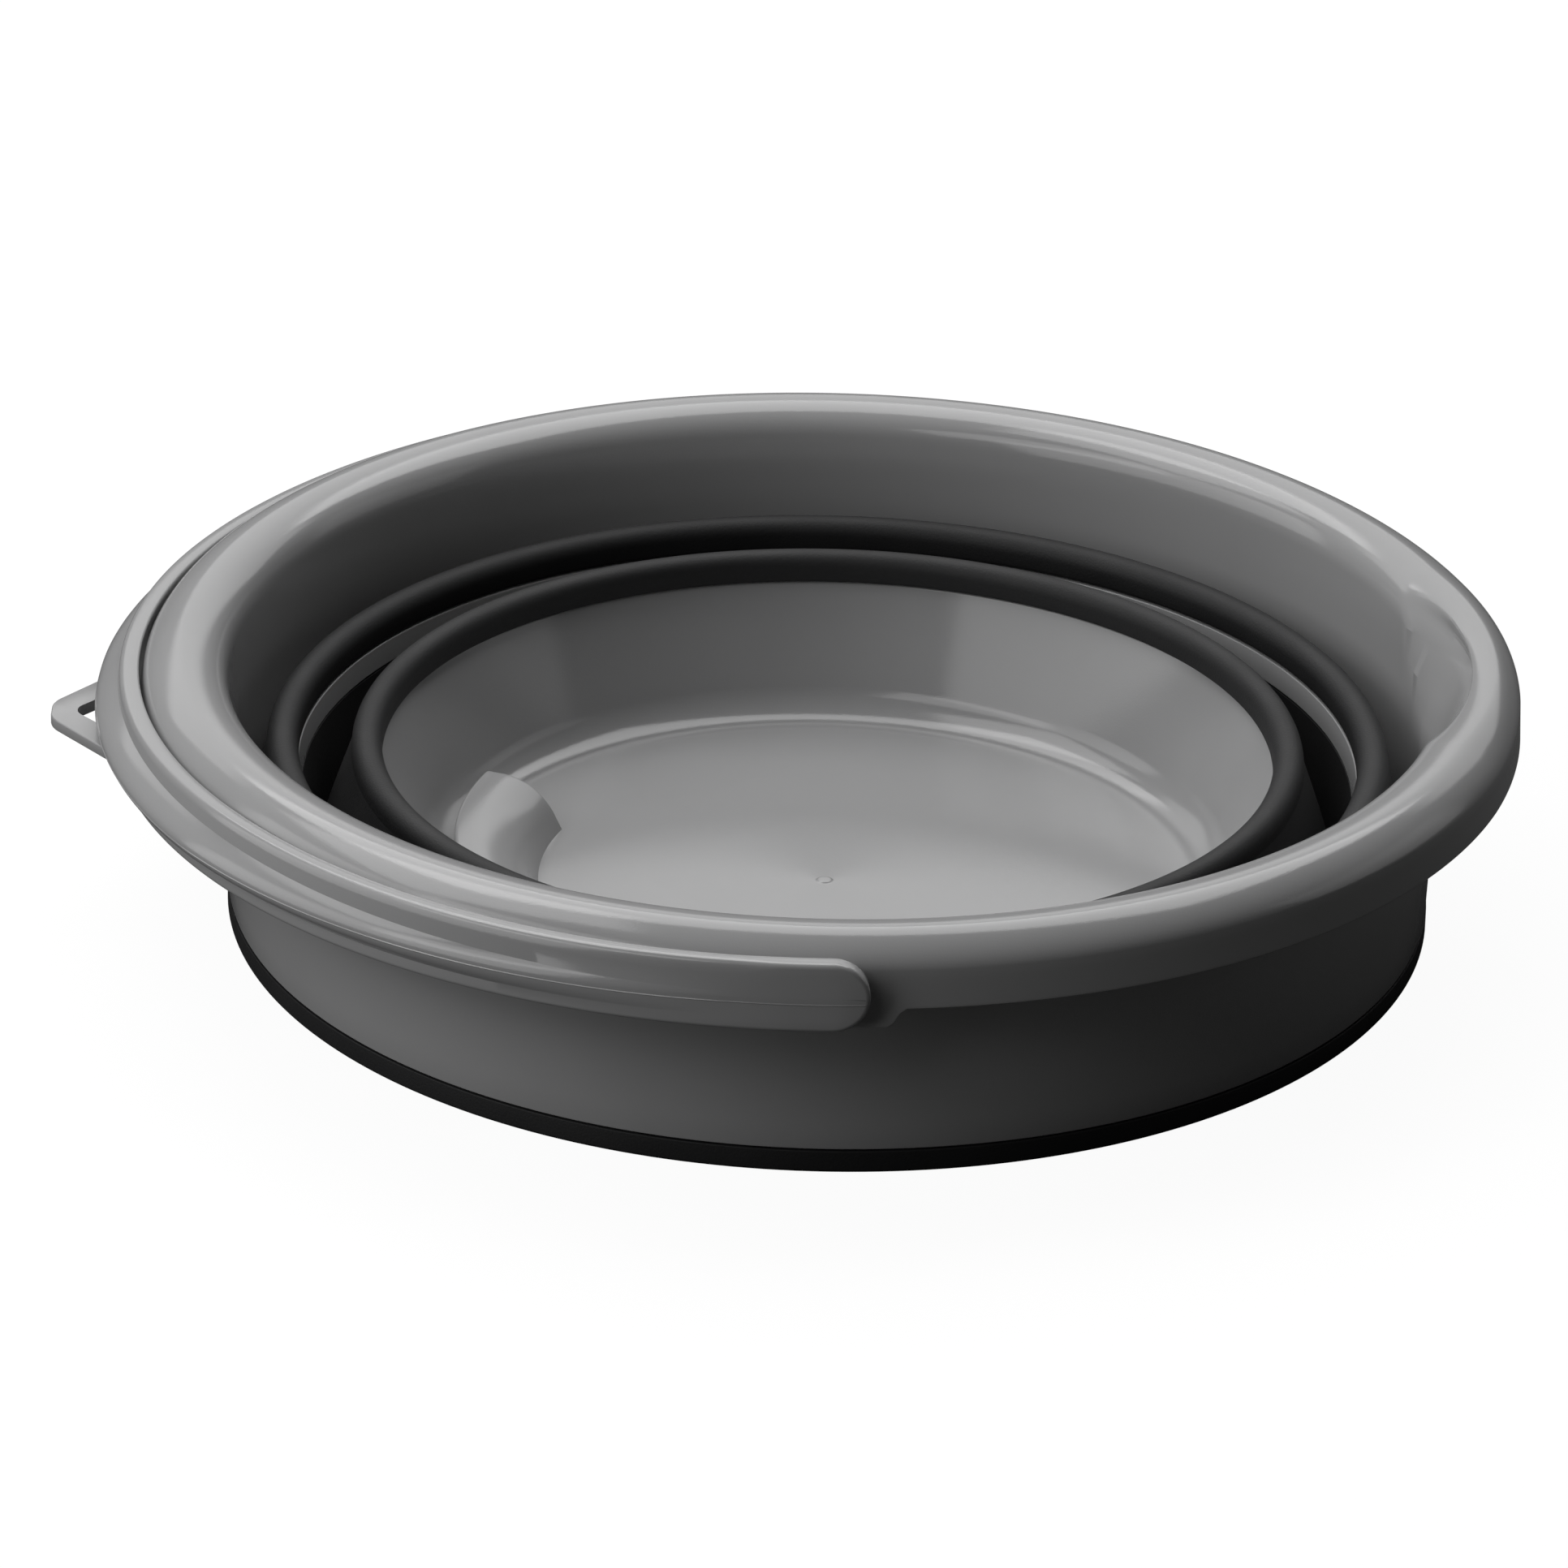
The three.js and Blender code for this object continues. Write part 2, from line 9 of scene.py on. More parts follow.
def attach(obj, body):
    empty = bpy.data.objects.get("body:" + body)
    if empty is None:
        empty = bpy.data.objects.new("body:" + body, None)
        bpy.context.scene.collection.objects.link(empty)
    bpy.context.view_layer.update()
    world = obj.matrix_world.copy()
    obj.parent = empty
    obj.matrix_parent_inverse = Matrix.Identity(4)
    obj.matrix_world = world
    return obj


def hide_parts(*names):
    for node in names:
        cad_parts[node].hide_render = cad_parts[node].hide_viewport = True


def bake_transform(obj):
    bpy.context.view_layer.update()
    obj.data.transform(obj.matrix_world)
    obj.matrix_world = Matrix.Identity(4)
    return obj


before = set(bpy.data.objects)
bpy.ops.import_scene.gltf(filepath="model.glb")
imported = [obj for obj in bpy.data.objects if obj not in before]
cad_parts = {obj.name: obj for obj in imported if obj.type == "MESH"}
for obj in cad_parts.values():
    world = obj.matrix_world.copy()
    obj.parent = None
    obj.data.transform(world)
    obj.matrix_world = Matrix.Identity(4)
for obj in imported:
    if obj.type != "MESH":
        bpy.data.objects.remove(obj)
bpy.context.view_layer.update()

# Base bowl: one moulding of grey polypropylene, with a leaning wall, a round fillet and a flat floor
# on a foot ring. A recess for the fingers is pressed into the floor on the handle's side and shows
# inside as a hump bent round the axis. The mould's gate left a small nub at the middle of the floor.
mm = 0.001
merge_distance = 1e-7
turn_steps = 240
round_segments = 8
small_round = 0.3
floor_top = 4.5
floor_under = 1.7
lip_height = 35.5
lip_radius = 106.7
bowl_wall = 2.3
bowl_corner_radius = 94.7
bowl_fillet = 7.5
bowl_wall_across = 2.46
bowl_under_inset = 1.1
bowl_under_fillet = 7.4
foot_outer = 88.1
foot_inner = 85.9
foot_round = 0.5
gate_radius = 1.5
gate_height = 0.4
gate_slope = 0.5
floor_ring = 30.0
lip_round = 0.6
recess_foot_radius = 68.0
recess_back = 87.9
recess_top = 16.5
recess_lean = math.radians(28)
recess_round = 14
recess_edge = 0.9
recess_half_angle = math.radians(22.8)
recess_steps = 120


class Wire:
    """An output of a node in a finish. Python's operators on it add Math nodes."""

    def __init__(self, finish, socket):
        self.finish = finish
        self.socket = socket

    def math(self, operation, first, second):
        return self.finish.node("ShaderNodeMath", {"operation": operation}, {0: first, 1: second})

    def __add__(self, other):
        return self.math("ADD", self, other)

    def __radd__(self, other):
        return self.math("ADD", other, self)

    def __sub__(self, other):
        return self.math("SUBTRACT", self, other)

    def __mul__(self, other):
        return self.math("MULTIPLY", self, other)

    def __rmul__(self, other):
        return self.math("MULTIPLY", other, self)

    def __lt__(self, other):
        return self.math("LESS_THAN", self, other)

    def __gt__(self, other):
        return self.math("GREATER_THAN", self, other)


class Finish:
    """A material with a Principled shader, and one method that adds any other node."""

    def __init__(self, name):
        self.material = bpy.data.materials.new(name)
        self.material.use_nodes = True
        self.tree = self.material.node_tree
        self.shader = self.tree.nodes["Principled BSDF"]

    def feed(self, socket, value):
        if isinstance(value, Wire):
            self.tree.links.new(value.socket, socket)
        else:
            socket.default_value = value

    def node(self, kind, settings, sockets, output=0):
        made = self.tree.nodes.new(kind)
        for key, value in settings.items():
            setattr(made, key, value)
        for key, value in sockets.items():
            self.feed(made.inputs[key], value)
        return Wire(self, made.outputs[output])

    def set(self, sockets):
        for key, value in sockets.items():
            self.feed(self.shader.inputs[key], value)


# The grey plastic has a soft gloss, with faint flow marks from the mould and a few dark specks
flow_low = 0.94
flow_range = 0.12
speck_size = 0.022
speck_least_draw = 0.9
speck_dark = 0.7
grey = Finish("satin_grey_polypropylene")
grey_place = grey.node("ShaderNodeTexCoord", {}, {}, "Object")
grey_flow = grey.node("ShaderNodeTexNoise", {}, {"Vector": grey_place, "Scale": 28.0, "Detail": 3.0})
grey_cloud = grey.node("ShaderNodeTexNoise", {}, {"Vector": grey_place, "Scale": 260.0, "Detail": 2.0})
grey_grain = grey.node("ShaderNodeTexNoise", {}, {"Vector": grey_place, "Scale": 2600.0, "Detail": 1.0})
speck_cells = {"Vector": grey_place, "Scale": 55.0}
speck_near = grey.node("ShaderNodeTexVoronoi", {}, speck_cells, "Distance") < speck_size
speck_draw = grey.node("ShaderNodeTexVoronoi", {}, speck_cells, "Color")
speck = speck_near * (grey.node("ShaderNodeSeparateColor", {}, {0: speck_draw}) > speck_least_draw)
grey_shade = flow_low + flow_range * grey_flow - speck_dark * speck
grey_colour = grey.node(
    "ShaderNodeMix",
    {"data_type": "RGBA"},
    {0: grey_shade, 6: (0.0, 0.0, 0.0, 1.0), 7: (0.300, 0.300, 0.302, 1.0)},
    2,
)
grey_bump = grey.node("ShaderNodeBump", {}, {"Strength": 0.08, "Distance": 0.0002, "Height": grey_grain})
grey.set({
    "Base Color": grey_colour,
    "Roughness": 0.07 + 0.04 * grey_flow + 0.03 * grey_cloud,
    "IOR": 1.49,
    "Normal": grey_bump,
})


def section(corners, closed=True):
    """A line in the XZ plane from (radius, height, rounding) corners in mm, rounded by bevels."""
    shape = bmesh.new()
    points = [shape.verts.new((radius * mm, 0, height * mm)) for radius, height, _ in corners]
    pairs = list(zip(points, points[1:]))
    if closed:
        pairs.append((points[-1], points[0]))
    for pair in pairs:
        shape.edges.new(pair)
    for point, (_, _, rounding) in zip(points, corners):
        if rounding:
            bmesh.ops.bevel(
                shape, geom=[point], offset=rounding * mm, offset_type="OFFSET",
                segments=round_segments, profile=0.5, affect="VERTICES", material=-1,
            )
    return shape


def turned(shape, steps=turn_steps):
    """Spins a section once round the bucket's axis and closes its seam and poles."""
    bmesh.ops.spin(
        shape, geom=shape.verts[:] + shape.edges[:], cent=(0, 0, 0), axis=(0, 0, 1),
        angle=2 * math.pi, steps=steps, use_merge=True,
    )
    bmesh.ops.remove_doubles(shape, verts=shape.verts[:], dist=merge_distance)
    bmesh.ops.recalc_face_normals(shape, faces=shape.faces[:])
    return shape


def finished(name, shape, finish, crease=40):
    """Makes a piece from a bmesh, smooth but for edges sharper than the crease angle in degrees."""
    mesh = bpy.data.meshes.new(name)
    shape.to_mesh(mesh)
    shape.free()
    mesh.materials.append(finish.material)
    mesh.shade_smooth()
    mesh.set_sharp_from_angle(angle=math.radians(crease))
    piece = bpy.data.objects.new(name, mesh)
    bpy.context.scene.collection.objects.link(piece)
    return piece


def recess_barrel(set_back):
    """The hump over the finger recess, spun about the axis. Set back, it is the hollow under it."""
    foot = -floor_under if set_back else (floor_top + floor_under) / 2
    top = recess_top - set_back
    back = recess_back - set_back
    face = recess_foot_radius + set_back / math.cos(recess_lean)
    slope = math.tan(recess_lean)
    reach = (recess_round - set_back) * math.tan((math.pi / 2 - recess_lean) / 2)
    shape = section([
        (face + (foot - floor_top) * slope, foot, 0),
        (back, foot, 0),
        (back, top, recess_edge),
        (face + (top - floor_top) * slope, top, reach),
    ])
    bmesh.ops.contextual_create(shape, geom=shape.edges[:])
    half_angle = recess_half_angle - set_back / recess_foot_radius
    edge_angle = recess_edge / recess_foot_radius
    to_start = Matrix.Rotation(math.pi - half_angle, 3, "Z")
    bmesh.ops.rotate(shape, verts=shape.verts[:], cent=(0, 0, 0), matrix=to_start)
    bmesh.ops.spin(
        shape, geom=shape.verts[:] + shape.edges[:] + shape.faces[:], cent=(0, 0, 0), axis=(0, 0, 1),
        angle=2 * half_angle, steps=recess_steps,
    )
    for vert in shape.verts:
        angle = abs(math.atan2(-vert.co.y, -vert.co.x))
        share = min(max((angle - half_angle) / edge_angle + 1, 0.0), 1.0)
        drop = recess_edge * (1 - math.sqrt(1 - share * share)) / (recess_top - floor_top)
        rise = max(vert.co.z - floor_top * mm, 0.0)
        vert.co.z -= rise * drop
    bmesh.ops.recalc_face_normals(shape, faces=shape.faces[:])
    return shape


def combined(piece, tool, operation, seam=20):
    """Joins or cuts a piece with a solid, which is used up. Edges over the seam angle stay sharp."""
    change = piece.modifiers.new("cut", "BOOLEAN")
    change.operation = operation
    change.object = tool
    change.solver = "EXACT"
    graph = bpy.context.evaluated_depsgraph_get()
    mesh = bpy.data.meshes.new_from_object(piece.evaluated_get(graph))
    piece.modifiers.clear()
    old = piece.data
    piece.data = mesh
    mesh.set_sharp_from_angle(angle=math.radians(seam))
    bpy.data.meshes.remove(old)
    bpy.data.objects.remove(tool)


bowl_line = section([
    (0, floor_top + gate_height, 0),
    (gate_radius, floor_top + gate_height, small_round),
    (gate_radius + gate_slope, floor_top, small_round),
    (floor_ring, floor_top, 0),
    (2 * floor_ring, floor_top, 0),
    (bowl_corner_radius, floor_top, bowl_fillet),
    (lip_radius, lip_height, lip_round),
    (lip_radius + bowl_wall, lip_height, lip_round),
    (bowl_corner_radius - bowl_under_inset + bowl_wall_across, floor_under, bowl_under_fillet),
    (foot_outer, floor_under, small_round),
    (foot_outer, 0, foot_round),
    (foot_inner, 0, foot_round),
    (foot_inner, floor_under, small_round),
    (0, floor_under, 0),
], closed=False)
bowl = finished("base_bowl_moulding", turned(bowl_line), grey)
recess_hump = finished("recess_hump", recess_barrel(0), grey)
recess_hollow = finished("recess_hollow", recess_barrel(bowl_wall), grey)
combined(bowl, recess_hump, "UNION")
combined(bowl, recess_hollow, "DIFFERENCE")
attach(bowl, "base")
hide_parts("base_bowl")

# Lower fold: black elastomer moulded onto the lip of the bowl and onto the middle ring. Its bead is
# the soft ridge on the lip, its band hangs from the middle ring, and the thin web between them rolls
# over when the bucket is pulled open.
bead_foot_round = 1.0
lower_bead_inner = 105.1
lower_bead_outer = 112.3
lower_bead_foot = 35.75
lower_bead_top = 43.0
lower_bead_round = 3.55
band_foot = 1.8
band_foot_radius = 122.3
band_top = 29.8
band_top_radius = 123.9
band_wall = 2.2
soft_edge = 0.6
web_wall = 1.2
web_foot = 2.2
web_foot_pull = 0.3
web_top_pull = 0.25
web_points = 18
lower_web_foot_radius = 122.0
lower_web_top = 38.0
lower_web_top_radius = 112.2

# The soft black is matt, with a fine grain and a dusty bloom on it
black = Finish("matt_black_elastomer")
black_place = black.node("ShaderNodeTexCoord", {}, {}, "Object")
black_bloom = black.node("ShaderNodeTexNoise", {}, {"Vector": black_place, "Scale": 60.0, "Detail": 4.0})
black_grain = black.node("ShaderNodeTexNoise", {}, {"Vector": black_place, "Scale": 1900.0, "Detail": 2.0})
black_colour = black.node(
    "ShaderNodeMix",
    {"data_type": "RGBA"},
    {0: black_bloom, 6: (0.006, 0.006, 0.0065, 1.0), 7: (0.012, 0.012, 0.0125, 1.0)},
    2,
)
black_bump = black.node("ShaderNodeBump", {}, {"Strength": 0.35, "Distance": 0.0002, "Height": black_grain})
black.set({
    "Base Color": black_colour,
    "Roughness": 0.56 + 0.16 * black_bloom,
    "Specular IOR Level": 0.36,
    "IOR": 1.5,
    "Normal": black_bump,
})


def web_section(foot_radius, top_radius, top):
    """The thin wall of a fold from its foot up into its bead, as a closed outline."""
    rise = top - web_foot
    lean = foot_radius - top_radius
    line = interpolate_bezier(
        Vector((foot_radius, web_foot)),
        Vector((foot_radius, web_foot + web_foot_pull * rise)),
        Vector((top_radius + web_top_pull * lean, top - web_top_pull * rise)),
        Vector((top_radius, top)),
        web_points,
    )
    outer = [(radius, height, 0) for radius, height in line]
    inner = [(radius - web_wall, height, 0) for radius, height in reversed(line)]
    return section(outer + inner)


lower_bead = finished("lower_fold_bead_ridge", turned(section([
    (lower_bead_inner, lower_bead_foot, bead_foot_round),
    (lower_bead_outer, lower_bead_foot, bead_foot_round),
    (lower_bead_outer, lower_bead_top, lower_bead_round),
    (lower_bead_inner, lower_bead_top, lower_bead_round),
])), black)
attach(lower_bead, "base")
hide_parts("lower_fold_bead")

lower_web = finished(
    "lower_fold_web_skin",
    turned(web_section(lower_web_foot_radius, lower_web_top_radius, lower_web_top)),
    black,
)
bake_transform(lower_web)
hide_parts("lower_fold_web")

lower_band = finished("lower_fold_band_wall", turned(section([
    (band_foot_radius, band_foot, soft_edge),
    (band_foot_radius + band_wall, band_foot, soft_edge),
    (band_top_radius + band_wall, band_top, 0),
    (band_top_radius, band_top, 0),
])), black)
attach(lower_band, "middle")
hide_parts("lower_fold_band")

# Middle ring: a narrow stiff hoop of the grey plastic that both folds are moulded onto. Only its
# inner face and its glossy lower edge show, between the two beads.
hoop_foot = 30.1
hoop_top = 35.5
hoop_radius = 123.9
hoop_wall = 2.6
hoop_lean = 0.9
hoop_inner_round = 0.4
hoop_outer_round = 0.5
hoop = finished("middle_ring_hoop", turned(section([
    (hoop_radius, hoop_foot, hoop_inner_round),
    (hoop_radius + hoop_wall, hoop_foot, hoop_outer_round),
    (hoop_radius + hoop_wall + hoop_lean, hoop_top, small_round),
    (hoop_radius + hoop_lean, hoop_top, small_round),
])), grey)
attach(hoop, "middle")
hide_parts("middle_ring")

# Upper fold: the same black elastomer between the middle ring and the foot of the upper wall. The
# bead rides on the middle ring, and the cuff is the hem that the folded bucket shows at the ground.
upper_bead_inner = 124.8
upper_bead_outer = 132.4
upper_bead_foot = 35.8
upper_bead_top = 43.4
upper_bead_round = 3.75
cuff_inner = 140.4
cuff_outer = 142.7
cuff_foot = 0.1
cuff_foot_round = 0.9
cuff_top = 5.4
cuff_top_round = 0.25
upper_web_foot_radius = 140.1
upper_web_top = 38.2
upper_web_top_radius = 132.3
ring_press = 1.2
ring_bulge = 1.6
bulge_end = 66.1
skirt_start = 162.4
skirt_radius = 162.8


def out_of_round(shape):
    """Presses the handle's side in, but not the skirt, and lets the foot of the front out a little."""
    for vert in shape.verts:
        facing = vert.co.xy.normalized()
        to_handle = max(-facing.x, 0.0)
        to_front = max(-facing.y, 0.0)
        low = 1 - vert.co.z / (bulge_end * mm)
        inside = (skirt_radius * mm - vert.co.xy.length) / ((skirt_radius - skirt_start) * mm)
        pressed = min(max(inside, 0.0), 1.0)
        vert.co.x += ring_press * mm * pressed * to_handle * to_handle
        vert.co.y -= ring_bulge * mm * low * low * to_front * to_front


upper_bead = finished("upper_fold_bead_ridge", turned(section([
    (upper_bead_inner, upper_bead_foot, bead_foot_round),
    (upper_bead_outer, upper_bead_foot, bead_foot_round),
    (upper_bead_outer, upper_bead_top, upper_bead_round),
    (upper_bead_inner, upper_bead_top, upper_bead_round),
])), black)
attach(upper_bead, "middle")
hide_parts("upper_fold_bead")

upper_web = finished(
    "upper_fold_web_skin",
    turned(web_section(upper_web_foot_radius, upper_web_top_radius, upper_web_top)),
    black,
)
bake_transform(upper_web)
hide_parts("upper_fold_web")

cuff_shape = turned(section([
    (cuff_inner, cuff_foot, soft_edge),
    (cuff_outer, cuff_foot, cuff_foot_round),
    (cuff_outer, cuff_top, cuff_top_round),
    (cuff_inner, cuff_top, 0),
]))
out_of_round(cuff_shape)
cuff = finished("upper_fold_cuff_hem", cuff_shape, black)
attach(cuff, "rim")
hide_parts("upper_fold_cuff")

# Upper ring: the largest moulding of the grey plastic. Its wall flares into a rolled rim with a
# hanging skirt. A conical channel on the +X side is the pouring spout, and at each pivot the skirt
# hangs lower in an ear that takes the handle's peg.
ring_steps = 720
ring_edge_round = 0.45
ring_edge_angle = math.radians(60)
edge_segments = 3
slack = 1e-3
wall_thickness = 1.9
wall_foot = 5.7
wall_foot_radius = 140.6
wall_draft = math.radians(2)
wall_middle = 30.0
wall_rows = (0.12, 0.25, 0.4, 0.55, 0.7, 0.85)
flare_start = 57.0
crest_radius = 153.2
crest_height = 65.9
rim_flare = 10.8
roll_foot = 59.0
skirt_foot = 49.9
skirt_rows = (0.25, 0.5, 0.75, 0.9, 1.0)
flare_lift = 0.72
flare_spread = 0.02
crest_share = 0.52
roll_crown = 0.34
roll_shoulder = 0.46
roll_spread = 0.08
flare_points = 16
roll_points = 16
spout_depth = 10.8
spout_power = 1.5
spout_crease = 0.08
spout_brim = 0.14
spout_ease = 0.72
spout_height = 35.0
spout_half_angle = math.radians(19.5)
spout_lip = -0.8
ear_depth = 4.4
ear_half_width = 11.5
ear_fillet = 4.0
pivot_height = 54.7
peg_hole_radius = 4.0
peg_hole_start = 153.1
peg_hole_end = 166.0
rod_segments = 48


def smooth(share):
    """Eases a share from 0 to 1, level at both ends."""
    share = min(max(share, 0.0), 1.0)
    return share * share * (3 - 2 * share)


def spout_reach(azimuth, height):
    """How far in mm the spout presses the wall out at an azimuth and a height."""
    rise = (height - crest_height + spout_height) / spout_height
    if rise <= 0:
        return 0.0
    across = azimuth / (spout_half_angle * rise)
    bow = max(1 - across * across, 0.0)
    brim = 1 - spout_ease * smooth((rise - 1) / spout_brim + 1)
    return spout_depth * rise ** spout_power * brim * bow * bow / (bow + spout_crease)


def ear_drop(azimuth):
    """How far in mm the skirt's edge hangs lower at an azimuth."""
    from_pivot = abs(abs(azimuth) - math.pi / 2) * skirt_radius
    return ear_depth * (1 - smooth((from_pivot - ear_half_width) / ear_fillet))


def add_rod(shape, radius, start, end):
    """Adds a round rod along the handle's pivot axis, from one Y in mm to another."""
    middle = Matrix.Translation((0, (start + end) / 2 * mm, pivot_height * mm))
    bmesh.ops.create_cone(
        shape, cap_ends=True, segments=rod_segments, radius1=radius * mm, radius2=radius * mm,
        depth=abs(end - start) * mm, matrix=middle @ Matrix.Rotation(math.pi / 2, 4, "X"),
    )


flare_radius = wall_foot_radius + (flare_start - wall_foot) * math.tan(wall_draft)
flare_rise = crest_height - flare_start
roll_width = skirt_start - crest_radius
roll_drop = crest_height - roll_foot
inside_line = interpolate_bezier(
    Vector((flare_radius, flare_start)),
    Vector((flare_radius + flare_spread * rim_flare, flare_start + flare_lift * flare_rise)),
    Vector((crest_radius - crest_share * rim_flare, crest_height)),
    Vector((crest_radius, crest_height)),
    flare_points,
)
roll_line = interpolate_bezier(
    Vector((crest_radius, crest_height)),
    Vector((crest_radius + roll_crown * roll_width, crest_height)),
    Vector((skirt_start - roll_spread * roll_width, roll_foot + roll_shoulder * roll_drop)),
    Vector((skirt_start, roll_foot)),
    roll_points,
)
ring_line = [(wall_foot_radius, wall_foot)]
for share in wall_rows:
    height = wall_foot + share * (flare_start - wall_foot)
    ring_line.append((wall_foot_radius + share * (flare_radius - wall_foot_radius), height))
ring_line += [tuple(point) for point in inside_line]
ring_line += [tuple(point) for point in roll_line[1:]]
for share in skirt_rows:
    height = roll_foot + share * (skirt_foot - roll_foot)
    ring_line.append((skirt_start + share * (skirt_radius - skirt_start), height))

ring_corners = [(radius, height, 0) for radius, height in ring_line]
ring = turned(section(ring_corners, closed=False), ring_steps)
for vert in ring.verts:
    azimuth = math.atan2(vert.co.y, vert.co.x)
    radius = math.hypot(vert.co.x, vert.co.y) / mm
    height = vert.co.z / mm
    on_skirt = radius > skirt_start
    crest_reach = spout_reach(azimuth, crest_height)
    lip = spout_lip * crest_reach / spout_depth
    if radius <= crest_radius + slack:
        radius += spout_reach(azimuth, height)
    else:
        fade = max((skirt_start - radius) / roll_width, 0.0)
        radius += lip + (crest_reach - lip) * fade
    if on_skirt:
        hang = (roll_foot - height) / (roll_foot - skirt_foot)
        height -= ear_drop(azimuth) * hang * hang
    vert.co = (radius * mm * math.cos(azimuth), radius * mm * math.sin(azimuth), height * mm)
out_of_round(ring)
bmesh.ops.recalc_face_normals(ring, faces=ring.faces[:])
middle_face = min(ring.faces, key=lambda face: abs(face.calc_center_median().z - wall_middle * mm))
if middle_face.normal.xy.dot(middle_face.calc_center_median().xy) > 0:
    bmesh.ops.reverse_faces(ring, faces=ring.faces[:])
bmesh.ops.solidify(ring, geom=ring.faces[:], thickness=wall_thickness * mm)
whole_edges = [edge for edge in ring.edges if edge.is_manifold]
rim_edges = [edge for edge in whole_edges if edge.calc_face_angle(0) > ring_edge_angle]
bmesh.ops.bevel(
    ring, geom=rim_edges, offset=ring_edge_round * mm, offset_type="OFFSET", segments=edge_segments,
    profile=0.5, affect="EDGES", material=-1,
)
upper_ring = finished("upper_ring_moulding", ring, grey)
peg_holes = bmesh.new()
for side in (-1, 1):
    add_rod(peg_holes, peg_hole_radius, side * peg_hole_start, side * peg_hole_end)
combined(upper_ring, finished("peg_holes", peg_holes, grey), "DIFFERENCE")
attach(upper_ring, "rim")
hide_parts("upper_ring")

# Handle: a half ring of the grey plastic that lies round the rim and swings on two moulded pegs. Its
# ends are flat plates with round ends, the grip has a rounded rib, and the mould's parting line runs
# along it. A flat tab with a three-cornered hole at the middle hangs it on a hook.
handle_radius = 163.9
handle_wall = 4.8
handle_half_height = 8.3
end_reach = 7.2
end_round_share = 0.999
end_segments = 14
handle_outer_round = 1.2
handle_inner_round = 0.7
brim_segments = 4
handle_lean = 1.3
handle_foot_lean = 0.7
handle_tuck = 0.6
handle_drop = 1.2
handle_tilt = math.radians(0.53)
handle_droop = math.radians(0.4)
handle_draft = 0.3
handle_cuts = 260
handle_crease = 35
rib_depth = 4.2
rib_middle = -1.1
rib_under = 3.9
rib_over = 6.6
rib_over_end = 2.3
rib_half_angle = math.radians(82)
rib_fade = 0.62
rib_return = math.radians(4)
rib_levels = 10
parting_height = -1.3
parting_half_width = 0.35
parting_proud = 0.16
tab_root = 166.3
tab_tip = 183.0
tab_root_width = 51.0
tab_tip_width = 9.0
tab_tip_round = 2.5
tab_edge_round = 0.5
tab_edge_angle = math.radians(70)
tab_segments = 6
tab_foot = 43.0
tab_thickness = 2.8
tab_hole_tip = 178.2
tab_hole_root = 171.2
tab_hole_width = 16.0
tab_hole_round = 1.2
tab_hole_tip_round = 3.5
tab_hole_past = 1.0
peg_radius = 3.7
peg_head_radius = 4.9
peg_head_end = 158.1
peg_head_start = 156.1
peg_root = 166.3


def thickened(shape, along):
    """Raises a flat face by a vector in metres into a solid."""
    raised = bmesh.ops.extrude_face_region(shape, geom=shape.faces[:])
    moved = [item for item in raised["geom"] if isinstance(item, bmesh.types.BMVert)]
    bmesh.ops.translate(shape, vec=along, verts=moved)
    bmesh.ops.recalc_face_normals(shape, faces=shape.faces[:])


def sliced(shape, point, normal):
    """Adds edges to a solid where a plane through a point crosses it."""
    everything = shape.verts[:] + shape.edges[:] + shape.faces[:]
    bmesh.ops.bisect_plane(shape, geom=everything, dist=merge_distance, plane_co=point, plane_no=normal)


arc_half = math.pi / 2 * handle_radius
bar = bmesh.new()
bmesh.ops.create_grid(bar, x_segments=1, y_segments=1, size=1)
bmesh.ops.scale(bar, vec=((arc_half + end_reach) * mm, handle_half_height * mm, 1), verts=bar.verts[:])
bmesh.ops.bevel(
    bar, geom=bar.verts[:], offset=end_round_share * handle_half_height * mm, offset_type="OFFSET",
    segments=end_segments, profile=0.5, affect="VERTICES", material=-1,
)
bmesh.ops.rotate(bar, verts=bar.verts[:], cent=(0, 0, 0), matrix=Matrix.Rotation(math.pi / 2, 3, "X"))
thickened(bar, (0, handle_wall * mm, 0))
for depth, rounding in ((handle_wall, handle_outer_round), (0, handle_inner_round)):
    brim = [edge for edge in bar.edges if all(abs(v.co.y - depth * mm) < slack * mm for v in edge.verts)]
    bmesh.ops.bevel(
        bar, geom=brim, offset=rounding * mm, offset_type="OFFSET", segments=brim_segments, profile=0.5,
        affect="EDGES", material=-1,
    )
levels = [rib_middle - rib_under * step / rib_levels for step in range(1, rib_levels + 1)]
levels += [rib_middle + rib_over * step / rib_levels for step in range(rib_levels + 1)]
levels += [parting_height + side * parting_half_width for side in (-1, 0, 1)]
for level in levels:
    sliced(bar, (0, 0, level * mm), (0, 0, 1))
for end in (-1, 1):
    sliced(bar, (end * arc_half * mm, 0, 0), (1, 0, 0))
long_edges = [edge for edge in bar.edges if edge.calc_length() > arc_half * mm]
bmesh.ops.subdivide_edges(bar, edges=long_edges, cuts=handle_cuts, use_grid_fill=True)
